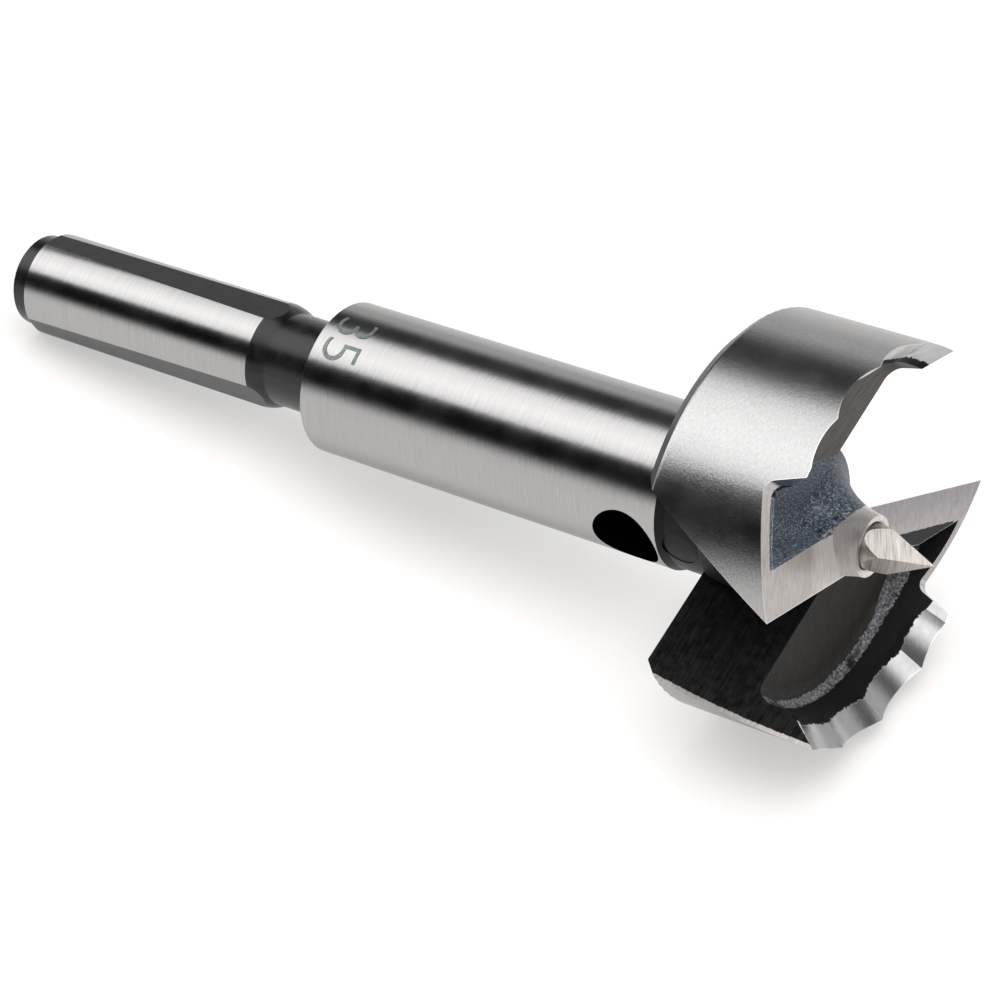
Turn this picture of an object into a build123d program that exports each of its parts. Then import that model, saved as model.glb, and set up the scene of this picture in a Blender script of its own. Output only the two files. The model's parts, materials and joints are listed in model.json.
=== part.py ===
from build123d import *
import math
import os

# Shank, from its free end at zero along the bit's axis, in millimetres and degrees
collar_diameter = 8.9
collar_length = 2.0
collar_chamfer = 0.4
shank_diameter = 10.0
shank_length = 28.0
shank_chamfer = 0.3
flat_count = 3
flat_first_angle = 37.7
flat_depth_outer = 0.095
flat_depth_inner = 0.28
neck_diameter = 8.8
neck_length = 8.0
neck_round = 1.7

# Shaft, its cross hole and the throat that carries the head
shaft_diameter = 14.2
shaft_length = 38.5
shaft_chamfer = 0.25
throat_diameter = 13.5
throat_length = 4.1
throat_taper = 0.8
cross_hole_diameter = 6.5
cross_hole_from_head = 7.5
cross_hole_angle = 30.0

# Head: two wings under one rim circle, with heights taken from its rear face
head_diameter = 35.0
tooth_height = 13.8
blank_allowance = 1.0
rear_chamfer_radial = 1.2
rear_chamfer_axial = 1.15
rear_round = 0.6

# Core between the wings, with the thin boss round the centre point
core_diameter = 14.2
core_straight_height = 6.5
boss_diameter = 5.4
boss_height = 12.9
core_hollow = 1.0

# Cutting lip: its outer corner, the front face below it and the ground flank behind it
lip_height = 13.52
rake_heading = -13.6
rake_lean = 31.35
flank_heading = -34.8
flank_relief = 16.6

# Trailing face of each wing
trail_heading = -148.0
trail_lean = 25.7
trail_offset = 0.9

# Notch between the flank and the toothed rim
notch_offset = 0.36
notch_lean = 21.0
notch_round = 1.0

# Waves ground across the rim, between tooth tips at these angles behind the lip corner
tooth_angles = [-43.0, -58.5, -80.9, -102.5, -121.0]
wave_radius = 7.75
wave_overrun = 0.25
bevel_angle = 45.0
first_land_reach = 3.5

# Forged dish behind each lip. The two lands were ground by hand and differ a little
dish_floor_height = 8.2
dish_diameter = 30.5
dish_draft = 5.0
dish_round = 1.4
land_round = 2.0
land_borders = [
    [(-3.0, -0.65), (18.0, -3.95)],
    [(-3.0, -0.3), (11.1, -4.6), (18.0, -3.55)],
]
bulge_reaches = [15.3, 16.6]
bulge_radius = 10.0
bulge_angle = -21.0
dish_end_angle = 30.0
dish_end_offset = 3.8

# Exchangeable centre point and the pin that locks it
point_diameter = 4.0
point_overhang = 18.75
point_facets = 4
point_facet_angle = 18.6
point_first_facet = -51.0
point_clearance = 0.03
point_setback = 1.0
bore_chamfer = 0.25
pin_diameter = 3.2
pin_from_head = 2.0
pin_angle = 23.0
pin_clearance = 0.02
pin_recess = 0.06
pin_flat_depth = 0.3
pin_flat_length = 4.4

# How the bit lies: this side of the head is on the table
down_angle = 106.0

# Places along the axis that follow from the sizes above
shank_end = collar_length + shank_length
shaft_start = shank_end + neck_length
shaft_end = shaft_start + shaft_length
head_rear = shaft_end + throat_length
tooth_top = head_rear + tooth_height
blank_top = tooth_top + blank_allowance
lip_top = head_rear + lip_height
tip = head_rear + point_overhang
dish_floor = head_rear + dish_floor_height
boss_top = head_rear + boss_height
cross_hole_place = head_rear - cross_hole_from_head
pin_place = head_rear - pin_from_head
bore_end = cross_hole_place
point_end = cross_hole_place + cross_hole_diameter / 2 + point_setback

pin_bearing = point_diameter / 2 - pin_flat_depth
head_radius = head_diameter / 2
lip_corner = Vector(head_radius, 0, lip_top)
dish_mid_height = (lip_height - dish_floor_height) / 2
far = 3 * head_diameter


def level(angle):
    """A level unit vector at this angle round the axis."""
    return Vector(math.cos(math.radians(angle)), math.sin(math.radians(angle)), 0)


def block_beyond(place, facing):
    """A block that holds everything past the plane through this place."""
    return Plane(origin=place, z_dir=facing) * Pos(0, 0, far / 2) * Box(far, far, far)


def leaning_face(heading, lean):
    """The outward direction of a face whose level lines run along the heading."""
    side = level(heading + 90)
    return side * math.cos(math.radians(lean)) + Vector(0, 0, 1) * math.sin(math.radians(lean))


def turned_body():
    """Shank, neck, shaft, throat and core, turned in one piece."""
    with BuildSketch(Plane.XZ) as profile:
        with BuildLine():
            collar = collar_diameter / 2
            shank = shank_diameter / 2
            neck = neck_diameter / 2
            shaft = shaft_diameter / 2
            throat = throat_diameter / 2
            core = core_diameter / 2
            core_end = head_rear + core_straight_height
            Polyline(
                (0, 0),
                (collar - collar_chamfer, 0),
                (collar, collar_chamfer),
                (collar, collar_length),
                (shank - shank_chamfer, collar_length),
                (shank, collar_length + shank_chamfer),
                (shank, shank_end),
            )
            RadiusArc((shank, shank_end), (neck, shank_end + neck_round), -2 * neck_round)
            Polyline(
                (neck, shank_end + neck_round),
                (neck, shaft_start),
                (shaft - shaft_chamfer, shaft_start),
                (shaft, shaft_start + shaft_chamfer),
                (shaft, shaft_end),
                (throat, shaft_end + throat_taper),
                (throat, head_rear),
                (core, head_rear + (core - throat)),
                (core, core_end),
            )
            boss = boss_diameter / 2
            SagittaArc((core, core_end), (boss, boss_top), core_hollow)
            Polyline((boss, boss_top), (0, boss_top), (0, 0))
        make_face()
    return revolve(profile.sketch, axis=Axis.Z)


def shank_flats():
    """Shallow flats that deepen towards the neck, for the three jaws of a chuck."""
    outer = shank_diameter / 2 - flat_depth_outer
    fall = math.degrees(math.atan((flat_depth_inner - flat_depth_outer) / shank_length))
    length = shank_end + neck_round
    flats = []
    for number in range(flat_count):
        side = level(flat_first_angle + number * 360 / flat_count)
        facing = side * math.cos(math.radians(fall)) + Vector(0, 0, 1) * math.sin(math.radians(fall))
        place = Plane(origin=side * outer, x_dir=Vector(0, 0, 1).cross(side), z_dir=facing)
        block = Pos(0, length / 2, shank_diameter / 2) * Box(shank_diameter, length, shank_diameter)
        flats.append(place * block)
    return flats


def head_blank():
    """The turned disc that both wings are cut from."""
    with BuildSketch(Plane.XZ) as profile:
        Polygon(
            (0, head_rear),
            (head_radius - rear_chamfer_radial, head_rear),
            (head_radius, head_rear + rear_chamfer_axial),
            (head_radius, blank_top),
            (0, blank_top),
            align=None,
        )
        edge = (head_radius, head_rear + rear_chamfer_axial, 0)
        fillet(profile.vertices().sort_by_distance(edge)[0], radius=rear_round)
    return revolve(profile.sketch, axis=Axis.Z)


def gullet():
    """The space in front of one wing's lip and behind the other wing's trailing face."""
    front = block_beyond(lip_corner, leaning_face(rake_heading, -rake_lean))
    trail_start = level(trail_heading + 90) * trail_offset + Vector(0, 0, head_rear)
    back = block_beyond(trail_start, leaning_face(trail_heading - 180, trail_lean))
    return back & Rot(0, 0, 180) * front


def flank_and_notch():
    """All that stands above the ground flank, up to the notch before the first tooth."""
    side = level(flank_heading + 90)
    rise = math.tan(math.radians(flank_relief))
    foot = lip_top - rise * (lip_corner.dot(side) + notch_offset)
    edge = head_diameter
    start = level(flank_heading) * -core_diameter / 4
    with BuildSketch(Plane(origin=start, x_dir=side, z_dir=level(flank_heading))) as profile:
        Polygon(
            (-notch_offset, foot),
            (edge, foot + rise * (edge + notch_offset)),
            (edge, foot + edge),
            (-notch_offset - edge * math.tan(math.radians(notch_lean)), foot + edge),
            align=None,
        )
        fillet(profile.vertices().sort_by_distance((0, 0, 0))[0], radius=notch_round)
    return extrude(profile.sketch, amount=far)


def bevel_frame(angle):
    """Two directions at this angle of the rim: outward along the bevel, and square to it."""
    outward = level(angle)
    up = Vector(0, 0, 1)
    tilt = math.radians(bevel_angle)
    along = outward * math.cos(tilt) + up * math.sin(tilt)
    square = up * math.cos(tilt) - outward * math.sin(tilt)
    return along, square


def wave(first, last):
    """A round groove along the bevel that leaves a sharp tooth tip at each of its sides."""
    along, square = bevel_frame((first + last) / 2)
    half = math.radians(abs(last - first) / 2)
    chord = head_radius * math.sin(half)
    middle = level((first + last) / 2) * head_radius * math.cos(half) + Vector(0, 0, tooth_top)
    centre = middle + square * math.sqrt(wave_radius**2 - chord**2)
    inner = (head_radius - dish_diameter / 2) / math.cos(math.radians(bevel_angle)) + wave_overrun
    outer = head_radius / 2
    shift = (outer - inner) / 2
    return Plane(origin=centre + along * shift, z_dir=along) * Cylinder(wave_radius, outer + inner)


def first_tooth_land():
    """The narrow bevel between the notch and the first wave."""
    angle = tooth_angles[0]
    along, square = bevel_frame(angle)
    tooth = level(angle) * head_radius + Vector(0, 0, tooth_top)
    reach = head_radius - dish_diameter / 2
    block = Pos(0, first_land_reach / 2, reach) * Box(4 * reach, first_land_reach, 2 * reach)
    return Plane(origin=tooth, x_dir=along, z_dir=square) * block


def bowl(centre, radius):
    """A round hollow with drafted walls and a rounded floor edge, open at the top."""
    height = tooth_height - dish_floor_height + blank_allowance
    slope = math.tan(math.radians(dish_draft))
    floor_radius = radius - slope * dish_mid_height
    hollow = Cone(floor_radius, floor_radius + slope * height, height)
    hollow = fillet(hollow.edges().group_by(Axis.Z)[0], radius=dish_round)
    return Pos(centre.X, centre.Y, dish_floor + height / 2) * hollow


def land_side(start, end):
    """All on the lip's side of one straight stretch of the land's border, with a rounded foot."""
    along = (Vector(*end) - Vector(*start)).normalized()
    across = Vector(0, 0, 1).cross(along)
    slope = math.tan(math.radians(dish_draft))
    foot = Vector(*start) - across * slope * dish_mid_height + Vector(0, 0, dish_floor)
    with BuildSketch(Plane(origin=foot, x_dir=across, z_dir=along)) as profile:
        outline = [(-far, -far), (-far, 0), (0, 0), (slope * far, far), (far, far), (far, -far)]
        Polygon(*outline, align=None)
        fillet(profile.vertices().sort_by_distance(foot)[0], radius=land_round)
    return extrude(profile.sketch, amount=far, both=True)


def dish(land_border, bulge_reach):
    """The forged hollow behind the lip, open at the wing's trailing face."""
    hollow = bowl(Vector(0, 0), dish_diameter / 2)
    hollow += bowl(level(bulge_angle) * (bulge_reach - bulge_radius), bulge_radius)
    land = land_side(land_border[0], land_border[1])
    for start, end in zip(land_border[1:], land_border[2:]):
        land &= land_side(start, end)
    outward = level(dish_end_angle + 90)
    return hollow - land - block_beyond(Vector(0, 0, dish_floor) - outward * dish_end_offset, outward)


def head():
    """Two like wings, each with lip, flank, notch, waved rim, dish and trailing face."""
    body = head_blank()
    for number, land in enumerate(zip(land_borders, bulge_reaches)):
        cuts = [gullet(), flank_and_notch(), first_tooth_land(), dish(*land)]
        cuts += [wave(first, last) for first, last in zip(tooth_angles, tooth_angles[1:])]
        for cut in cuts:
            body -= Rot(0, 0, 180 * number) * cut
    return body


def round_bar(angle, height, radius, inner, outer):
    """A level bar square to the bit's axis, from one distance off the axis to another."""
    middle = level(angle) * (inner + outer) / 2 + Vector(0, 0, height)
    return Plane(origin=middle, z_dir=level(angle)) * Cylinder(radius, outer - inner)


def bit_body():
    """The bit itself, forged and turned in one piece."""
    body = turned_body() + head()
    for flat in shank_flats():
        body -= flat
    hole_radius = cross_hole_diameter / 2
    body -= round_bar(cross_hole_angle, cross_hole_place, hole_radius, -shaft_diameter, shaft_diameter)
    bore_radius = point_diameter / 2 + point_clearance
    bore_length = boss_top - bore_end
    body -= Pos(0, 0, bore_end + bore_length / 2) * Cylinder(bore_radius, bore_length)
    mouth = Cone(bore_radius, bore_radius + bore_chamfer, bore_chamfer)
    body -= Pos(0, 0, boss_top - bore_chamfer / 2) * mouth
    body -= round_bar(pin_angle, pin_place, pin_diameter / 2 + pin_clearance, 0, shaft_diameter)
    return body


def centre_point():
    """The round point with ground facets, and the flat that its pin bears on."""
    length = tip - point_end
    point = Pos(0, 0, point_end + length / 2) * Cylinder(point_diameter / 2, length)
    for number in range(point_facets):
        side = level(point_first_facet + number * 360 / point_facets)
        lean = math.radians(point_facet_angle)
        facing = side * math.cos(lean) + Vector(0, 0, 1) * math.sin(lean)
        point -= block_beyond((0, 0, tip), facing)
    middle = level(pin_angle) * (pin_bearing + point_diameter / 2) + Vector(0, 0, pin_place)
    flat = Plane(origin=middle, x_dir=(0, 0, 1), z_dir=level(pin_angle))
    return point - flat * Box(pin_flat_length, 2 * point_diameter, point_diameter)


def retaining_pin():
    """The pin through the throat's wall, with its outer end dressed to the throat."""
    throat = throat_diameter / 2 - pin_recess
    bar = round_bar(pin_angle, pin_place, pin_diameter / 2, pin_bearing, shaft_diameter)
    return bar & Pos(0, 0, pin_place) * Cylinder(throat, 2 * pin_diameter)


def lay_down(pieces):
    """Turn the pieces onto the table, resting on the shank's end and the head's rear edge."""
    drop = (head_diameter - shank_diameter) / 2
    run = head_rear + rear_chamfer_axial - collar_length - shank_chamfer
    tilt = math.degrees(math.atan(drop / run))
    laid = {name: Rot(0, 90 - tilt, 0) * Rot(0, 0, -down_angle) * piece for name, piece in pieces.items()}
    boxes = [piece.bounding_box() for piece in laid.values()]
    middle_x = (min(box.min.X for box in boxes) + max(box.max.X for box in boxes)) / 2
    middle_y = (min(box.min.Y for box in boxes) + max(box.max.Y for box in boxes)) / 2
    bottom = min(box.min.Z for box in boxes)
    return {name: Pos(-middle_x, -middle_y, -bottom) * piece for name, piece in laid.items()}


pieces = {"bit_body": bit_body(), "centre_point": centre_point(), "retaining_pin": retaining_pin()}
os.makedirs("parts", exist_ok=True)
for name, piece in lay_down(pieces).items():
    export_step(piece, f"parts/{name}.step")
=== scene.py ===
import json
import math

import bmesh
import bpy
from mathutils import Matrix, Vector


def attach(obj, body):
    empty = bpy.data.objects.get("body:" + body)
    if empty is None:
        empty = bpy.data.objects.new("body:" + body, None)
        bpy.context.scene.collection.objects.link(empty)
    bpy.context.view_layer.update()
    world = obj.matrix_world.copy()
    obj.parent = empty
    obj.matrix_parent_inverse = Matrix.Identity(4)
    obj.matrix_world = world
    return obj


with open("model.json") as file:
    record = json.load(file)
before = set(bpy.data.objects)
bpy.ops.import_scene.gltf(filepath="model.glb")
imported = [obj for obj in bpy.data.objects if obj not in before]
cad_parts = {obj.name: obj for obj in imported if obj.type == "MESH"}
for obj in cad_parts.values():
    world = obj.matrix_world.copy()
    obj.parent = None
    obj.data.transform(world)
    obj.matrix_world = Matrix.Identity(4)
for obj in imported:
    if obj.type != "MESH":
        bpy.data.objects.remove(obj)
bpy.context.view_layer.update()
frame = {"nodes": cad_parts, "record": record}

# The bit's own frame, in millimetres from the shank's free end, found from the record's mounts
SHANK_MOUNT_PLACE = 16.15
CROSS_HOLE_ANGLE = 30.0
MOUNTS = {mount["name"]: mount for mount in frame["record"]["mounts"]}
MM = 0.001


def bit_matrix():
    """The matrix that takes a point of the bit's frame, in millimetres, to the scene."""
    along = -Vector(MOUNTS["shank"]["axis"]).normalized()
    across = Vector(MOUNTS["cross_hole"]["axis"])
    across = (across - along * across.dot(along)).normalized()
    lip = Matrix.Rotation(math.radians(-CROSS_HOLE_ANGLE), 3, along) @ across
    side = along.cross(lip)
    start = Vector(MOUNTS["shank"]["pos_m"]) - along * SHANK_MOUNT_PLACE * MM
    matrix = Matrix((lip, side, along)).transposed().to_4x4() @ Matrix.Scale(MM, 4)
    matrix.translation = start
    return matrix


BIT = bit_matrix()
TURN = BIT.to_3x3().normalized()


def place(x, y, along):
    """A point of the bit's frame, in the scene."""
    return BIT @ Vector((x, y, along))


def heading(angle, along):
    """A direction at this angle round the bit's axis that leans along it, in the scene."""
    spot = Vector((math.cos(math.radians(angle)), math.sin(math.radians(angle)), along))
    return (TURN @ spot).normalized()


# Places along the bit and radii, in millimetres, as in the CAD model
COLLAR_END = 2.0
SHANK_END = 30.0
SHAFT_START = 38.0
SHAFT_END = 76.5
HEAD_REAR = 80.6
SHAFT_RADIUS = 7.1
HEAD_RADIUS = 17.5

# The wings' plane faces, as in the CAD model: the way each faces, how far along it the plane
# lies, and its finish. The other wing's are half a turn round.
RAKE_WAY = Vector((0.2009, 0.8298, -0.5203))
TRAIL_WAY = Vector((0.4770, -0.7636, 0.4340))
FLANK_WAY = Vector((-0.1630, -0.2349, 0.9583))
WING_PLANES = (
    (RAKE_WAY, -45.44, "rake_steel"),
    (TRAIL_WAY, 33.88, "milled_black"),
    (FLANK_WAY, 87.52, "flank_steel"),
)
# How nearly a face has to look that way, and how near to the plane it has to lie
SAME_WAY = 0.995
SAME_PLACE = 0.4

# The colour ramps and the roughness follow a noise between these two values
NOISE_LOW = 0.3
NOISE_HIGH = 0.7
# A torn line between two finishes: how fine the tear is, how far the noise strays, and how soft
TEAR_SCALE = 2.2
TEAR_REACH = 4
TEAR_SOFTNESS = 0.04
# How alike a rounded normal and the face's own are where an edge's painted highlight starts and where it is
# full
EDGE_START = 0.985
EDGE_FULL = 0.93


def fill_ramp(points, stops):
    """Put pairs of a place and a grey or a colour into a colour ramp."""
    points.remove(points[1])
    for number, (where, colour) in enumerate(stops):
        point = points.new(where) if number else points[0]
        point.position = where
        point.color = (colour, colour, colour, 1) if isinstance(colour, (int, float)) else (*colour, 1)


class Nodes:
    """A short way to write a material's nodes."""

    def __init__(self, name):
        self.material = bpy.data.materials.new(name)
        self.material.use_nodes = True
        self.tree = self.material.node_tree
        self.tree.nodes.clear()
        self.shader = self.tree.nodes.new("ShaderNodeBsdfPrincipled")
        output = self.tree.nodes.new("ShaderNodeOutputMaterial")
        self.tree.links.new(self.shader.outputs[0], output.inputs[0])
        self.point = None

    def add(self, kind, **values):
        """A new node with these settings."""
        node = self.tree.nodes.new("ShaderNode" + kind)
        for key, value in values.items():
            setattr(node, key, value)
        return node

    def put(self, socket, value):
        """Set a socket, or link it where the value is another node's output."""
        if isinstance(value, bpy.types.NodeSocket):
            self.tree.links.new(value, socket)
        else:
            socket.default_value = value

    def bit_point(self):
        """The shaded point in the bit's frame, in millimetres."""
        if self.point is None:
            coordinate = self.add("TexCoord").outputs["Object"]
            inverse = BIT.inverted()
            mapping = self.add("Mapping")
            self.put(mapping.inputs["Vector"], coordinate)
            mapping.inputs["Location"].default_value = inverse.translation
            mapping.inputs["Rotation"].default_value = inverse.to_3x3().normalized().to_euler()
            mapping.inputs["Scale"].default_value = (1 / MM, 1 / MM, 1 / MM)
            self.point = mapping.outputs[0]
        return self.point

    def axes(self):
        """The three coordinates of the shaded point in the bit's frame."""
        split = self.add("SeparateXYZ")
        self.put(split.inputs[0], self.bit_point())
        return tuple(split.outputs)

    def math(self, operation, *values):
        """One step of arithmetic."""
        node = self.add("Math", operation=operation)
        for socket, value in zip(node.inputs, values):
            self.put(socket, value)
        return node.outputs[0]

    def both(self, first, second):
        """Where both shares hold."""
        return self.math("MULTIPLY", first, second)

    def either(self, first, second):
        """Where one of the two shares holds."""
        return self.math("MAXIMUM", first, second)

    def without(self, share):
        """Where a share doesn't hold."""
        return self.math("SUBTRACT", 1.0, share)

    def mixed(self, first, second, share):
        """The first height with a share of the second on it."""
        return self.math("ADD", first, self.math("MULTIPLY", second, share))

    def turned(self, angle):
        """The shaded point turned about the bit's axis."""
        turned = self.add("VectorRotate", rotation_type="Z_AXIS")
        self.put(turned.inputs["Vector"], self.bit_point())
        turned.inputs["Angle"].default_value = math.radians(angle)
        return turned.outputs[0]

    def radius(self):
        """How far the shaded point lies from the axis, in millimetres."""
        x, y = self.axes()[:2]
        return self.math("SQRT", self.math("ADD", self.math("MULTIPLY", x, x), self.math("MULTIPLY", y, y)))

    def around(self):
        """Radius, way round and place along the axis in millimetres, for patterns that go round."""
        x, y, along = self.axes()
        radius = self.radius()
        joined = self.add("CombineXYZ")
        self.put(joined.inputs[0], radius)
        self.put(joined.inputs[1], self.math("MULTIPLY", self.math("ARCTAN2", y, x), radius))
        self.put(joined.inputs[2], along)
        return joined.outputs[0]

    def dot(self, way):
        """How far the shaded point lies along a way in the bit's frame, in millimetres."""
        node = self.add("VectorMath", operation="DOT_PRODUCT")
        self.put(node.inputs[0], self.bit_point())
        node.inputs[1].default_value = way
        return node.outputs["Value"]

    def noise(self, vector, scale, detail=3.0, roughness=0.5):
        """Cloudy noise."""
        node = self.add("TexNoise")
        self.put(node.inputs["Vector"], vector)
        node.inputs["Scale"].default_value = scale
        node.inputs["Detail"].default_value = detail
        node.inputs["Roughness"].default_value = roughness
        return node.outputs["Fac"]

    def streaks(self, vector, squeeze, scale=1.0, detail=4.0, roughness=0.65):
        """Noise that is squeezed into lines: the larger a number, the finer the lines across it."""
        node = self.add("VectorMath", operation="MULTIPLY")
        self.put(node.inputs[0], vector)
        node.inputs[1].default_value = squeeze
        return self.noise(node.outputs[0], scale, detail, roughness)

    def span(self, value, low, high, to_low=0.0, to_high=1.0):
        """A soft step from one value to another."""
        node = self.add("MapRange", interpolation_type="SMOOTHSTEP")
        for socket, number in zip(node.inputs, (value, low, high, to_low, to_high)):
            self.put(socket, number)
        return node.outputs[0]

    def vary(self, noise, low, high):
        """A value that goes with a noise."""
        return self.span(noise, NOISE_LOW, NOISE_HIGH, low, high)

    def ragged(self, value, border, size):
        """Nothing below the border and all above it, with a torn line between them."""
        stray = self.math("SUBTRACT", self.noise(self.bit_point(), TEAR_SCALE, 4.0, 0.7), 0.5)
        torn = self.math("ADD", value, self.math("MULTIPLY", stray, TEAR_REACH * size))
        return self.span(torn, border - TEAR_SOFTNESS, border + TEAR_SOFTNESS)

    def ramp(self, factor, *stops):
        """A colour ramp from pairs of a place and a grey or a colour."""
        node = self.add("ValToRGB")
        self.put(node.inputs[0], factor)
        fill_ramp(node.color_ramp.elements, stops)
        return node.outputs[0]

    def shade(self, noise, dark, light):
        """A colour that goes with a noise."""
        return self.ramp(noise, (NOISE_LOW, dark), (NOISE_HIGH, light))

    def blend(self, share, first, second, mode="MIX"):
        """The second colour over the first one, by a share."""
        node = self.add("Mix", data_type="RGBA", blend_type=mode)
        self.put(node.inputs[0], share)
        for socket, colour in ((node.inputs[6], first), (node.inputs[7], second)):
            self.put(socket, (*colour, 1) if isinstance(colour, tuple) else colour)
        return node.outputs[2]

    def tinted(self, colour, tint):
        """A colour seen through a tint."""
        return self.blend(1.0, colour, tint, "MULTIPLY")

    def bump(self, height, strength, distance):
        """Relief from a height, with its distance in millimetres."""
        node = self.add("Bump")
        node.inputs["Strength"].default_value = strength
        node.inputs["Distance"].default_value = distance * MM
        self.put(node.inputs["Height"], height)
        self.put(self.shader.inputs["Normal"], node.outputs[0])

    def edge(self, width):
        """Where the shaded point lies within a width in millimetres of a sharp edge."""
        rounded = self.add("Bevel", samples=6)
        rounded.inputs["Radius"].default_value = width * MM
        node = self.add("VectorMath", operation="DOT_PRODUCT")
        self.put(node.inputs[0], rounded.outputs[0])
        self.put(node.inputs[1], self.add("NewGeometry").outputs["Normal"])
        return self.span(node.outputs["Value"], EDGE_START, EDGE_FULL)

    def lean(self, way, share):
        """Turn the shading normal to one way in the scene, by a share."""
        turned = self.add("Mix", data_type="VECTOR")
        normal = self.shader.inputs["Normal"].links[0].from_socket
        self.put(turned.inputs[0], share)
        self.put(turned.inputs[4], normal)
        turned.inputs[5].default_value = way
        unit = self.add("VectorMath", operation="NORMALIZE")
        self.put(unit.inputs[0], turned.outputs[1])
        self.put(self.shader.inputs["Normal"], unit.outputs[0])

    def finish(self, colour, roughness, metallic=1.0, **others):
        """Put the last values into the shader, and return the material."""
        self.put(self.shader.inputs["Base Color"], (*colour, 1) if isinstance(colour, tuple) else colour)
        self.put(self.shader.inputs["Roughness"], roughness)
        self.put(self.shader.inputs["Metallic"], metallic)
        for name, value in others.items():
            self.shader.inputs[name.replace("_", " ")].default_value = value
        return self.material


# The ground steel of the lips and the lands, and the way across its fine lines
GROUND_DARK = (0.37, 0.342, 0.328)
GROUND_LIGHT = (0.52, 0.485, 0.465)
CROSS_WAY = (-0.59, -0.03, 0.81)
CROSS_FINE = 7.0
CROSS_COARSE = 0.8
# How dark bright round steel turns where it is seen from the side, and the colour of the painted highlight
# along its sharp edges
EDGE_TINT = (0.75, 0.75, 0.75, 1)
EDGE_HIGHLIGHT = (0.72, 0.71, 0.7)

TURNED_DARK = (0.375, 0.369, 0.366)
TURNED_LIGHT = (0.425, 0.42, 0.417)
HEAD_DARK = (0.35, 0.348, 0.346)
HEAD_LIGHT = (0.45, 0.448, 0.446)


def turned_steel():
    """Bright round steel of the shank and the shaft, ground round and round."""
    nodes = Nodes("turned_steel")
    lines = nodes.streaks(nodes.around(), (0.3, 0.3, 9.0))
    strokes = nodes.streaks(nodes.around(), (0.5, 0.9, 7.0), detail=2.0, roughness=0.5)
    cloud = nodes.noise(nodes.bit_point(), scale=0.35)
    colour = nodes.shade(lines, TURNED_DARK, TURNED_LIGHT)
    nodes.bump(nodes.mixed(lines, strokes, 1.2), strength=0.16, distance=0.06)
    return nodes.finish(colour, nodes.vary(cloud, 0.16, 0.2), Specular_Tint=EDGE_TINT)


def head_steel():
    """The head's ground outside: soft mottled grain that runs round, with painted highlights along its
    edges.
    """
    nodes = Nodes("head_steel")
    grain = nodes.streaks(nodes.around(), (1.0, 1.2, 4.0), scale=1.6, roughness=0.7)
    speck = nodes.noise(nodes.bit_point(), scale=7.0, roughness=0.7)
    cloud = nodes.noise(nodes.bit_point(), scale=0.4)
    mottle = nodes.mixed(nodes.math("MULTIPLY", grain, 0.5), speck, 0.5)
    colour = nodes.ramp(mottle, (0.36, HEAD_DARK), (0.62, HEAD_LIGHT))
    # Painted highlight: the colour turns pale along the sharp edges
    colour = nodes.blend(nodes.edge(0.12), colour, EDGE_HIGHLIGHT)
    nodes.bump(nodes.mixed(grain, speck, 0.5), strength=0.25, distance=0.05)
    return nodes.finish(colour, nodes.vary(cloud, 0.19, 0.23), Specular_Tint=EDGE_TINT)


def black_steel(name, dark, light, roughness, shine):
    """Blackened steel, with a faint mottle."""
    nodes = Nodes(name)
    cloud = nodes.noise(nodes.bit_point(), scale=0.8, detail=4.0, roughness=0.6)
    fine = nodes.noise(nodes.bit_point(), scale=6.0, roughness=0.6)
    colour = nodes.ramp(cloud, (NOISE_LOW, dark), (0.75, light))
    nodes.bump(fine, strength=0.25, distance=0.03)
    rough = nodes.vary(cloud, roughness - 0.04, roughness + 0.05)
    return nodes.finish(colour, rough, metallic=0.0, Specular_IOR_Level=shine)


# Blue-black scale, its flecks, and the brown of a milled wall
SCALE_DARK = (0.006, 0.008, 0.012)
SCALE_BLUE = (0.026, 0.035, 0.05)
SCALE_FLECK = (0.25, 0.3, 0.37)
SCALE_CLOUD = (0.015, 0.016, 0.019)
MILLED_DARK = (0.02, 0.017, 0.015)
MILLED_BROWN = (0.1, 0.086, 0.076)
# Past this line the dish behind the upper lip is milled brown
MILLED_WAY = (-0.14, -0.99, 0.0)
MILLED_PLACE = 6.76
MILLED_LINES_ANGLE = -20.0


def speckled(nodes):
    """The colour, roughness and height of blue-black speckled scale."""
    speck = nodes.noise(nodes.bit_point(), scale=5.0, detail=6.0, roughness=0.8)
    cloud = nodes.noise(nodes.bit_point(), scale=0.7, detail=4.0, roughness=0.6)
    fleck = nodes.ramp(speck, (0.4, SCALE_DARK), (0.5, SCALE_BLUE), (0.62, SCALE_FLECK))
    colour = nodes.blend(nodes.span(cloud, 0.35, 0.65, 0.15, 0.0), fleck, SCALE_CLOUD)
    return colour, nodes.vary(speck, 0.4, 0.55), speck


def forged_scale():
    """Speckled scale of the forged core and behind the upper lip, brown where the dish is milled."""
    nodes = Nodes("forged_scale")
    colour, rough, speck = speckled(nodes)
    lines = nodes.streaks(nodes.turned(MILLED_LINES_ANGLE), (0.5, 6.0, 0.5))
    milled = nodes.ragged(nodes.dot(MILLED_WAY), MILLED_PLACE, size=0.15)
    brown = nodes.ramp(nodes.both(lines, speck), (0.14, MILLED_DARK), (0.4, MILLED_BROWN))
    nodes.bump(speck, strength=0.4, distance=0.06)
    colour = nodes.blend(milled, colour, brown)
    return nodes.finish(colour, rough, metallic=0.0, Specular_IOR_Level=0.35)


# The lower dish: where its wall starts and where the band of painted highlight lies, in millimetres
DISH_WALL_FOOT = 89.15
HIGHLIGHT_TOP = 90.05
HIGHLIGHT_RADIUS = 14.72
DISH_LINES_ANGLE = 25.0
DISH_DARK = (0.008, 0.0065, 0.006)
DISH_BROWN = (0.034, 0.029, 0.027)
# The walls' black oxide, painted darker as shade
DISH_WALL_OXIDE_AND_SHADE = (0.006, 0.006, 0.006)
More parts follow.
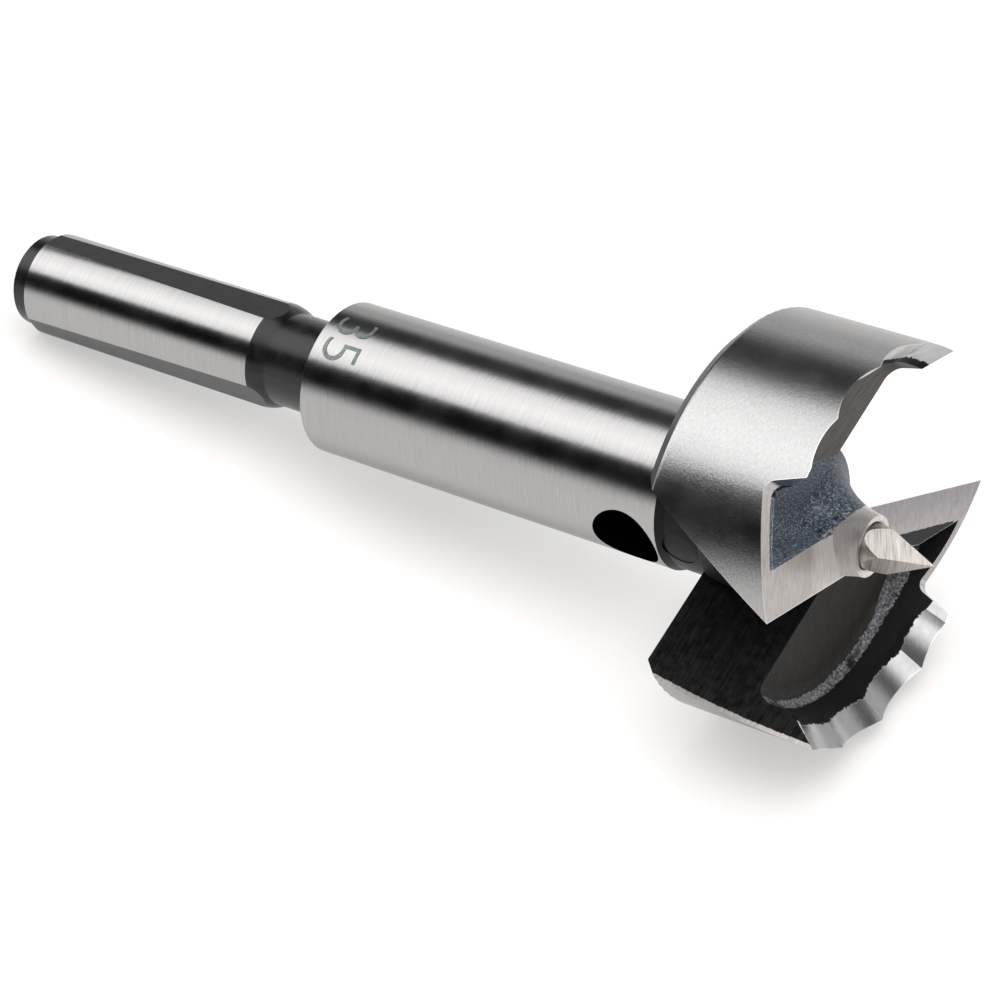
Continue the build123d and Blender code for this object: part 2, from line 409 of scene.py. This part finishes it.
# The band of painted highlight on the fillet at the wall's foot, from dark to pale
HIGHLIGHT_DARK = (0.022, 0.023, 0.025)
HIGHLIGHT_GREY = (0.15, 0.154, 0.162)
HIGHLIGHT_PALE = (0.38, 0.385, 0.4)


def dish_scale():
    """The lower dish: brown-black floor, black oxide walls painted darker as shade, and a pale band of
    painted highlight at the wall's foot.
    """
    nodes = Nodes("dish_scale")
    along = nodes.axes()[2]
    lines = nodes.streaks(nodes.turned(DISH_LINES_ANGLE), (6.0, 0.5, 0.5))
    fine = nodes.noise(nodes.bit_point(), scale=4.5, detail=4.0, roughness=0.7)
    colour = nodes.ramp(nodes.both(lines, fine), (0.12, DISH_DARK), (0.4, DISH_BROWN))
    # Above the foot the walls are painted near black: black oxide and painted shade
    colour = nodes.blend(nodes.ragged(along, DISH_WALL_FOOT, size=0.12), colour, DISH_WALL_OXIDE_AND_SHADE)
    # A patchy pale band of painted highlight on the fillet, below its top and outside its radius
    patch = nodes.span(nodes.noise(nodes.bit_point(), scale=0.5), 0.3, 0.5)
    below = nodes.without(nodes.ragged(along, HIGHLIGHT_TOP, size=0.16))
    band = nodes.both(nodes.ragged(nodes.radius(), HIGHLIGHT_RADIUS, size=0.14), below)
    painted_highlight = nodes.ramp(fine, (0.38, HIGHLIGHT_DARK), (0.55, HIGHLIGHT_GREY), (0.7, HIGHLIGHT_PALE))
    nodes.bump(nodes.mixed(fine, lines, 0.6), strength=0.7, distance=0.12)
    colour = nodes.blend(nodes.both(band, patch), colour, painted_highlight)
    return nodes.finish(colour, roughness=0.5, metallic=0.0, Specular_IOR_Level=0.25)


def ground_lines(nodes, way, fine, coarse):
    """Fine ground lines that run square to a way in the bit's frame."""
    first = Vector(way).normalized()
    side = Vector(way).cross((0.3, 1.0, 0.2)).normalized()
    last = Vector(way).cross(side).normalized()
    joined = nodes.add("CombineXYZ")
    for socket, direction in zip(joined.inputs, (first * fine, side * coarse, last * coarse)):
        nodes.put(socket, nodes.dot(direction))
    return nodes.noise(joined.outputs[0], scale=1.0, detail=4.0, roughness=0.65)


def ground_steel(name, dark, light, way, fine, coarse, roughness, strength):
    """Flat ground steel with fine lines that run one way."""
    nodes = Nodes(name)
    lines = ground_lines(nodes, way, fine, coarse)
    cloud = nodes.noise(nodes.bit_point(), scale=0.7)
    nodes.bump(lines, strength, distance=0.04)
    rough = nodes.vary(cloud, roughness - 0.03, roughness + 0.04)
    return nodes.finish(nodes.shade(lines, dark, light), rough)


# Above the plane that cuts its scale off, the hub is ground steel painted brighter than the lands, painted
# light that makes up for the shade on its steep sides
HUB_BRIGHTENED_DARK = (0.56, 0.52, 0.5)
HUB_BRIGHTENED_LIGHT = (0.74, 0.695, 0.67)
HUB_CUT_WAY = (-0.0292, 0.6874, 0.7257)
HUB_CUT_PLACE = 64.72
HUB_ROUGHNESS = 0.36
# Painted shade in the crevice round the insert: the radius inside which it is full, the radius where it
# ends, and its colour
CREVICE_SHADE_EDGE = 2.05
CREVICE_SHADE_END = 2.2
CREVICE_SHADE = (0.01, 0.009, 0.008)


def hub_steel():
    """The hub round the insert: ground level with the lips at its top, speckled scale at its foot, ground
    steel painted brighter as painted light, and painted shade in the crevice round the insert.
    """
    nodes = Nodes("hub_steel")
    scale_colour, scale_rough, speck = speckled(nodes)
    lines = ground_lines(nodes, CROSS_WAY, CROSS_FINE, CROSS_COARSE)
    ground = nodes.ragged(nodes.dot(HUB_CUT_WAY), HUB_CUT_PLACE, size=0.12)
    scaled = nodes.without(ground)
    crevice_shade = nodes.without(nodes.span(nodes.radius(), CREVICE_SHADE_EDGE, CREVICE_SHADE_END))
    # Painted light: the hub's ground steel is brighter than the lands'
    colour = nodes.blend(ground, scale_colour, nodes.shade(lines, HUB_BRIGHTENED_DARK, HUB_BRIGHTENED_LIGHT))
    # Painted shade in the crevice round the insert
    colour = nodes.blend(crevice_shade, colour, CREVICE_SHADE)
    rough = nodes.math("ADD", nodes.both(ground, HUB_ROUGHNESS), nodes.both(scaled, scale_rough))
    nodes.bump(nodes.math("ADD", lines, nodes.both(scaled, speck)), strength=0.4, distance=0.06)
    nodes.lean(TURN @ FLANK_WAY, ground)
    return nodes.finish(colour, rough, ground)


# The trailing face: worn bright outside this radius, and ground past a slanting line at its end
TRAIL_WORN_RADIUS = 17.12
TRAIL_END_RADIUS = 15.8
TRAIL_END_SLOPE = 1.19
TRAIL_END_PLACE = 92.6
TRAIL_END_INSIDE = (15.6, 15.7)
TRAIL_DARK = (0.001, 0.001, 0.001)
TRAIL_LIGHT = (0.015, 0.015, 0.0145)


def milled_black():
    """Black trailing face with fine mill lines, worn bright along the rim and at its outer end."""
    nodes = Nodes("milled_black")
    along = nodes.axes()[2]
    radius = nodes.radius()
    lines = nodes.streaks(nodes.bit_point(), (0.4, 0.4, 6.5), detail=3.0, roughness=0.6)
    cloud = nodes.noise(nodes.bit_point(), scale=1.3, detail=4.0, roughness=0.65)
    black = nodes.ramp(nodes.both(lines, cloud), (0.14, TRAIL_DARK), (0.42, TRAIL_LIGHT))
    slant = nodes.both(nodes.math("SUBTRACT", radius, TRAIL_END_RADIUS), TRAIL_END_SLOPE)
    past = nodes.ragged(nodes.math("SUBTRACT", along, slant), TRAIL_END_PLACE, size=0.06)
    end = nodes.both(past, nodes.span(radius, *TRAIL_END_INSIDE))
    bright = nodes.either(nodes.ragged(radius, TRAIL_WORN_RADIUS, size=0.08), end)
    colour = nodes.blend(bright, black, nodes.shade(lines, GROUND_DARK, GROUND_LIGHT))
    nodes.bump(lines, strength=0.6, distance=0.08)
    rough = nodes.span(bright, 0.0, 1.0, 0.6, 0.36)
    return nodes.finish(colour, rough, bright, Specular_IOR_Level=0.08)


# The lands: the way from a lip's edge to its scale, the land's width, and where the scale ends
BEHIND_LIP = Vector((-0.158, -0.987, 0.0))
LAND_WIDTH = 1.05
COAT_RADIUS = 15.9
# Painted reflection and shade on the lower land: its steel is tinted cooler towards the cutting edge and
# darker all over, as a painted reflection of a cooler and darker part of the room, and its scale is black
# oxide painted darker as shade
COOL_REFLECTION_START = 1.0
COOL_REFLECTION_END = -2.6
COOL_REFLECTION_TINT = (0.74, 0.75, 0.82)
LOWER_REFLECTION_TINT = (0.84, 0.85, 0.87)
LOWER_SCALE_AND_SHADE = (0.005, 0.005, 0.006)
# The upper land turns partly matt from the outer radius to the inner one, beside the hub
MATT_OUTER = 9.5
MATT_INNER = 5.5
MATT_SHARE = 0.6


def flank_steel():
    """The ground lands behind the lips, with a torn line where they meet the scale, painted reflection and
    shade on the lower land, and painted highlights along the edges.
    """
    nodes = Nodes("flank_steel")
    side = nodes.axes()[0]
    upper = nodes.math("GREATER_THAN", side, 0.0)
    lower = nodes.math("LESS_THAN", side, 0.0)
    lines = ground_lines(nodes, CROSS_WAY, CROSS_FINE, CROSS_COARSE)
    cloud = nodes.noise(nodes.bit_point(), scale=0.7)
    steel = nodes.shade(lines, GROUND_DARK, GROUND_LIGHT)
    # Painted reflection: the lower land turns cooler towards its cutting edge
    cool_reflection = nodes.both(nodes.span(nodes.dot(-BEHIND_LIP), COOL_REFLECTION_START, COOL_REFLECTION_END), lower)
    steel = nodes.blend(cool_reflection, steel, nodes.tinted(steel, COOL_REFLECTION_TINT))
    # Painted reflection of a darker part of the room: the lower land is darker all over
    steel = nodes.blend(lower, steel, nodes.tinted(steel, LOWER_REFLECTION_TINT))
    # The lower land's scale is black oxide painted darker as shade
    scale_colour = nodes.blend(lower, speckled(nodes)[0], LOWER_SCALE_AND_SHADE)
    behind = nodes.both(nodes.dot(BEHIND_LIP), nodes.math("SIGN", side))
    inside = nodes.without(nodes.ragged(nodes.radius(), COAT_RADIUS, size=0.1))
    coated = nodes.both(nodes.ragged(behind, LAND_WIDTH, size=0.1), inside)
    # Painted highlight along the sharp edges
    colour = nodes.blend(nodes.edge(0.1), nodes.blend(coated, steel, scale_colour), EDGE_HIGHLIGHT)
    nodes.bump(lines, strength=0.3, distance=0.04)
    matt = nodes.both(nodes.span(nodes.radius(), MATT_OUTER, MATT_INNER, 0.0, MATT_SHARE), upper)
    bare = nodes.without(nodes.either(coated, matt))
    rough = nodes.vary(cloud, 0.33, 0.4)
    return nodes.finish(colour, rough, bare, Specular_IOR_Level=0.1)


# The waves are bare steel outside this radius
WAVE_BARE_RADIUS = 15.85
WAVE_DARK = (0.4, 0.403, 0.408)
WAVE_LIGHT = (0.48, 0.48, 0.484)
WAVE_BLACK = (0.003, 0.003, 0.003)


def wave_steel():
    """Bright ground waves of the rim with painted highlights along their edges, black where they meet the
    dish.
    """
    nodes = Nodes("wave_steel")
    lines = nodes.streaks(nodes.around(), (0.6, 2.0, 0.6), detail=3.0, roughness=0.6)
    cloud = nodes.noise(nodes.bit_point(), scale=0.9)
    # Painted highlight along the sharp edges
    steel = nodes.blend(nodes.edge(0.12), nodes.shade(cloud, WAVE_DARK, WAVE_LIGHT), EDGE_HIGHLIGHT)
    bare = nodes.ragged(nodes.radius(), WAVE_BARE_RADIUS, size=0.16)
    nodes.bump(lines, strength=0.2, distance=0.03)
    rough = nodes.span(bare, 0.0, 1.0, 0.6, 0.27)
    colour = nodes.blend(bare, WAVE_BLACK, steel)
    return nodes.finish(colour, rough, bare, Specular_IOR_Level=0.1)


def rake_steel():
    """The lips' front faces, with grinding lines across the bit's axis."""
    return ground_steel(
        "rake_steel", dark=(0.19, 0.187, 0.2), light=(0.27, 0.266, 0.282),
        way=(0.0, 0.0, 1.0), fine=5.0, coarse=0.6, roughness=0.34, strength=0.3,
    )


def point_steel():
    """The ground insert, with fine lines on its facets."""
    return ground_steel(
        "point_steel", dark=(0.3, 0.276, 0.258), light=(0.58, 0.545, 0.515),
        way=CROSS_WAY, fine=6.5, coarse=0.35, roughness=0.36, strength=0.6,
    )


MATERIALS = [
    turned_steel(),
    head_steel(),
    black_steel("black_steel", (0.003, 0.003, 0.0032), (0.008, 0.008, 0.0085), roughness=0.24, shine=0.42),
    black_steel("throat_steel", (0.004, 0.004, 0.004), (0.01, 0.01, 0.01), roughness=0.36, shine=0.14),
    black_steel("rear_steel", (0.012, 0.012, 0.012), (0.024, 0.024, 0.024), roughness=0.45, shine=0.3),
    # The cross hole's walls are painted black as shade
    black_steel("hole_painted_shade", (0.001, 0.001, 0.001), (0.003, 0.003, 0.003), roughness=0.7, shine=0.0),
    forged_scale(),
    black_steel("rim_brown", (0.022, 0.018, 0.016), (0.07, 0.06, 0.053), roughness=0.5, shine=0.3),
    dish_scale(),
    hub_steel(),
    milled_black(),
    flank_steel(),
    rake_steel(),
    wave_steel(),
]
SLOTS = {material.name: number for number, material in enumerate(MATERIALS)}

# Borders between the finishes of the body's faces, in millimetres
FLAT_REACH = 4.95
SHAFT_FACE_END = SHAFT_START + 1.0
REAR_ROUND_END = 82.0
RIM_START = HEAD_RADIUS - 0.4
RIM_WALL = 14.7
WAVE_FLOOR = 90.4
WAVE_RADIUS = 15.2
HUB_RADIUS = 5.2
HUB_START = 89.3
CORE_RADIUS = 4.0
STEM_RADIUS = SHAFT_RADIUS + 0.2
# How near to a border the middle of a face may lie
SEAM = 0.01
SHANK_SEAM = 0.05
# How far a face of a kind looks away from the axis at least, or along it at least or at most
SHAFT_OUTWARD = 0.7
RIM_OUTWARD = 0.86
REAR_MOST = 0.3
WAVE_LEAST = 0.2
HUB_LEAST = -0.3
WALL_MOST = 0.4


def reach(centre, normal):
    """How far a face's plane lies from the axis, in millimetres."""
    return centre.x * normal.x + centre.y * normal.y


def stem_kind(centre, normal):
    """The finish of a face of the collar, shank, neck, shaft or throat."""
    outward = reach(centre, normal) / max(math.hypot(centre.x, centre.y), SEAM)
    if centre.z < COLLAR_END or SHANK_END - SHANK_SEAM < centre.z < SHAFT_START - SEAM:
        return "black_steel"
    if centre.z < SHANK_END:
        return "black_steel" if reach(centre, normal) < FLAT_REACH else "turned_steel"
    if centre.z > SHAFT_END + SEAM:
        return "throat_steel"
    # The cross hole's inner walls get painted shade
    return "turned_steel" if outward > SHAFT_OUTWARD or centre.z < SHAFT_FACE_END else "hole_painted_shade"


def plane_kind(centre, normal):
    """The finish of a face that lies in one of the wings' planes, or None."""
    for turn in (1, -1):
        way = Vector((normal.x * turn, normal.y * turn, normal.z))
        spot = Vector((centre.x * turn, centre.y * turn, centre.z))
        for plane_way, plane_place, finish in WING_PLANES:
            if way.dot(plane_way) > SAME_WAY and abs(spot.dot(plane_way) - plane_place) < SAME_PLACE:
                return finish
    return None


def head_kind(centre, normal):
    """The finish of a face of the head that is in none of the wings' planes."""
    radius = math.hypot(centre.x, centre.y)
    outward = reach(centre, normal) / max(radius, SEAM)
    if radius > RIM_START and outward > RIM_OUTWARD:
        return "head_steel"
    if centre.z < REAR_ROUND_END and normal.z < REAR_MOST:
        return "rear_steel"
    if radius > WAVE_RADIUS and normal.z > WAVE_LEAST and centre.z > WAVE_FLOOR:
        return "wave_steel"
    if radius < HUB_RADIUS and centre.z > HUB_START and normal.z > HUB_LEAST:
        return "hub_steel"
    if centre.y > 0 and radius > CORE_RADIUS:
        return "dish_scale"
    return "rim_brown" if radius > RIM_WALL and normal.z < WALL_MOST else "forged_scale"


def kind_of(centre, normal):
    """The finish of one face of the body, from its place and direction in the bit's frame."""
    if centre.z < HEAD_REAR - SEAM and math.hypot(centre.x, centre.y) < STEM_RADIUS:
        return stem_kind(centre, normal)
    return plane_kind(centre, normal) or head_kind(centre, normal)


def dress(node, materials):
    """Give a CAD node these materials, and return its mesh."""
    mesh = frame["nodes"][node].data
    mesh.materials.clear()
    for material in materials:
        mesh.materials.append(material)
    return mesh


def dress_body():
    """Give each face of the body its own finish."""
    inverse = BIT.inverted()
    turn = TURN.transposed()
    for face in dress("bit_body", MATERIALS).polygons:
        face.material_index = SLOTS[kind_of(inverse @ face.center, turn @ face.normal)]


dress_body()
dress("centre_point", [point_steel()])
dress("retaining_pin", [
    black_steel("pin_steel", (0.003, 0.003, 0.003), (0.01, 0.01, 0.01), roughness=0.45, shine=0.2),
])


# The size number on the shaft: the way round it and along it where the text is centred, its
# height, how far it stands out, and how much thinner and closer the letters are
NUMBER_ANGLE = -55.5
NUMBER_PLACE = 41.0
NUMBER_HEIGHT = 4.0
NUMBER_PROUD = 0.02
LETTER_OFFSET = -0.014
LETTER_SPACING = 0.9
INK_DARK = (0.09, 0.11, 0.1)
INK_LIGHT = (0.19, 0.22, 0.205)


def number_ink():
    """Grey-green marking ink, worn a little."""
    nodes = Nodes("number_ink")
    worn = nodes.noise(nodes.bit_point(), scale=3.0, detail=4.0, roughness=0.7)
    colour = nodes.ramp(worn, (0.35, INK_DARK), (0.7, INK_LIGHT))
    return nodes.finish(colour, roughness=0.4, metallic=0.6)


def number_mesh():
    """The flat mesh of the size number."""
    text = bpy.data.curves.new("size_text", "FONT")
    text.body = "35"
    text.align_x = "CENTER"
    text.align_y = "CENTER"
    text.offset = LETTER_OFFSET
    text.space_character = LETTER_SPACING
    text.resolution_u = 6
    writing = bpy.data.objects.new("size_text", text)
    bpy.context.scene.collection.objects.link(writing)
    mesh = bpy.data.meshes.new_from_object(writing.evaluated_get(bpy.context.evaluated_depsgraph_get()))
    bpy.data.objects.remove(writing)
    return mesh


def size_number():
    """The bit's size in millimetres, marked round the shaft near its end."""
    mesh = number_mesh()
    shape = bmesh.new()
    shape.from_mesh(mesh)
    bmesh.ops.subdivide_edges(shape, edges=shape.edges, cuts=2)
    heights = [vertex.co.y for vertex in shape.verts]
    grow = NUMBER_HEIGHT / (max(heights) - min(heights))
    out = SHAFT_RADIUS + NUMBER_PROUD
    for vertex in shape.verts:
        angle = math.radians(NUMBER_ANGLE) + vertex.co.x * grow / SHAFT_RADIUS
        vertex.co = place(out * math.cos(angle), out * math.sin(angle), NUMBER_PLACE + vertex.co.y * grow)
    shape.to_mesh(mesh)
    shape.free()
    mesh.materials.append(number_ink())
    number = bpy.data.objects.new("size_number", mesh)
    bpy.context.scene.collection.objects.link(number)
    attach(number, "root")


size_number()

# The floor: its size and colour, how far the bit's painted contact shadow reaches, in metres, and its glow
# at the deepest of the painted shadow and in the open
FLOOR_SIZE = 8.0
FLOOR_COLOUR = (0.15, 0.146, 0.143)
FLOOR_GLOW = (1.0, 0.99, 0.983, 1)
SHADOW_REACH = 0.011
SHADOW_GLOW = 0.5
OPEN_GLOW = 0.82


def floor():
    """A plain pale floor under the bit, glowing, with a painted contact shadow that dims its glow where the
    bit comes near.
    """
    bpy.ops.mesh.primitive_plane_add(size=FLOOR_SIZE, location=(0, 0, 0))
    plane = bpy.context.object
    plane.name = "floor"
    nodes = Nodes("floor_paper")
    # Painted contact shadow: the glow dims where the bit is near
    near = nodes.add("AmbientOcclusion", samples=12)
    near.inputs["Distance"].default_value = SHADOW_REACH
    glow = nodes.span(near.outputs["AO"], 0.15, 0.95, SHADOW_GLOW, OPEN_GLOW)
    nodes.put(nodes.shader.inputs["Emission Strength"], glow)
    nodes.shader.inputs["Emission Color"].default_value = FLOOR_GLOW
    paper = nodes.finish(FLOOR_COLOUR, roughness=0.9, metallic=0.0, Specular_IOR_Level=0.0)
    plane.data.materials.append(paper)


# What stands round the bit: the angle round its axis in degrees, and how bright the room is there
ROOM = (
    (-180, 0.5), (-152, 0.75), (-141, 0.8), (-134, 0.35), (-127, 0.06), (-107, 0.04), (-99, 0.3),
    (-95, 1.3), (-86, 1.9), (-62, 2.3), (-48, 2.0), (-41, 1.6), (-37, 0.12), (-31, 0.0),
    (-8, 0.0), (-2, 0.1), (6, 0.65), (14, 0.9), (180, 0.5),
)
ROOM_PEAK = 2.3
PALE = (1.0, 1.0, 1.0, 1)


def room_angle(tree):
    """The angle of a direction round the bit's axis, as a share of the whole turn."""
    add = tree.nodes.new
    link = tree.links.new
    direction = add("ShaderNodeTexCoord").outputs["Generated"]
    parts = []
    for way in (TURN @ Vector((1, 0, 0)), TURN @ Vector((0, 1, 0))):
        along = add("ShaderNodeVectorMath")
        along.operation = "DOT_PRODUCT"
        link(direction, along.inputs[0])
        along.inputs[1].default_value = way
        parts.append(along.outputs["Value"])
    angle = add("ShaderNodeMath")
    angle.operation = "ARCTAN2"
    link(parts[1], angle.inputs[0])
    link(parts[0], angle.inputs[1])
    share = add("ShaderNodeMapRange")
    link(angle.outputs[0], share.inputs[0])
    share.inputs[1].default_value = -math.pi
    share.inputs[2].default_value = math.pi
    return share.outputs[0]


def room():
    """A bright strip over the bit, with dark walls beside it and a pale backdrop."""
    world = bpy.data.worlds.new("room")
    bpy.context.scene.world = world
    world.use_nodes = True
    tree = world.node_tree
    add = tree.nodes.new
    link = tree.links.new
    ramp = add("ShaderNodeValToRGB")
    link(room_angle(tree), ramp.inputs[0])
    stops = [((degrees + 180) / 360, light / ROOM_PEAK) for degrees, light in ROOM]
    fill_ramp(ramp.color_ramp.elements, stops)
    lit = tree.nodes["Background"]
    lit.inputs["Strength"].default_value = ROOM_PEAK
    link(ramp.outputs[0], lit.inputs[0])
    pale = add("ShaderNodeBackground")
    pale.inputs[0].default_value = PALE
    chosen = add("ShaderNodeMixShader")
    link(add("ShaderNodeLightPath").outputs["Is Camera Ray"], chosen.inputs[0])
    link(lit.outputs[0], chosen.inputs[1])
    link(pale.outputs[0], chosen.inputs[2])
    link(chosen.outputs[0], tree.nodes["World Output"].inputs[0])


# The soft light: where along the bit it points, the way round to it and how far it leans, then
# its distance and width in metres, and its power in watts
LIT_PLACE = 60
LIGHT_ANGLE = -72.0
LIGHT_LEAN = 0.3
LIGHT_DISTANCE = 0.45
LIGHT_WIDTH = 0.4
LIGHT_POWER = 2.6


def soft_light():
    """A broad soft light over the bit that metal doesn't mirror."""
    light = bpy.data.lights.new("soft_light", "AREA")
    light.shape = "DISK"
    light.size = LIGHT_WIDTH
    light.energy = LIGHT_POWER
    lamp = bpy.data.objects.new("soft_light", light)
    bpy.context.scene.collection.objects.link(lamp)
    lamp.visible_glossy = False
    target = place(0, 0, LIT_PLACE)
    spot = target + heading(LIGHT_ANGLE, LIGHT_LEAN) * LIGHT_DISTANCE
    lamp.location = spot
    lamp.rotation_euler = (target - spot).to_track_quat("-Z", "Y").to_euler()


# The photograph's view, in the bit's frame: the camera's place, and where its right and its view point
CAMERA_PLACE = (216.44, -117.81, 209.51)
CAMERA_RIGHT = Vector((-0.59002, -0.02806, 0.80690))
CAMERA_VIEW = Vector((-0.73740, 0.42574, -0.52439))
FOCAL_LENGTH = 117.9
SENSOR_WIDTH = 36.0


def camera():
    """The photograph's view of the bit."""
    data = bpy.data.cameras.new("camera")
    data.sensor_width = SENSOR_WIDTH
    data.lens = FOCAL_LENGTH
    data.clip_start = 0.01
    viewer = bpy.data.objects.new("camera", data)
    bpy.context.scene.collection.objects.link(viewer)
    up = CAMERA_RIGHT.cross(CAMERA_VIEW)
    local = Matrix((CAMERA_RIGHT, up, -CAMERA_VIEW)).transposed()
    matrix = (TURN @ local).to_4x4()
    matrix.translation = place(*CAMERA_PLACE)
    viewer.matrix_world = matrix
    bpy.context.scene.camera = viewer


floor()
room()
soft_light()
camera()
bpy.context.scene.view_settings.view_transform = "Standard"
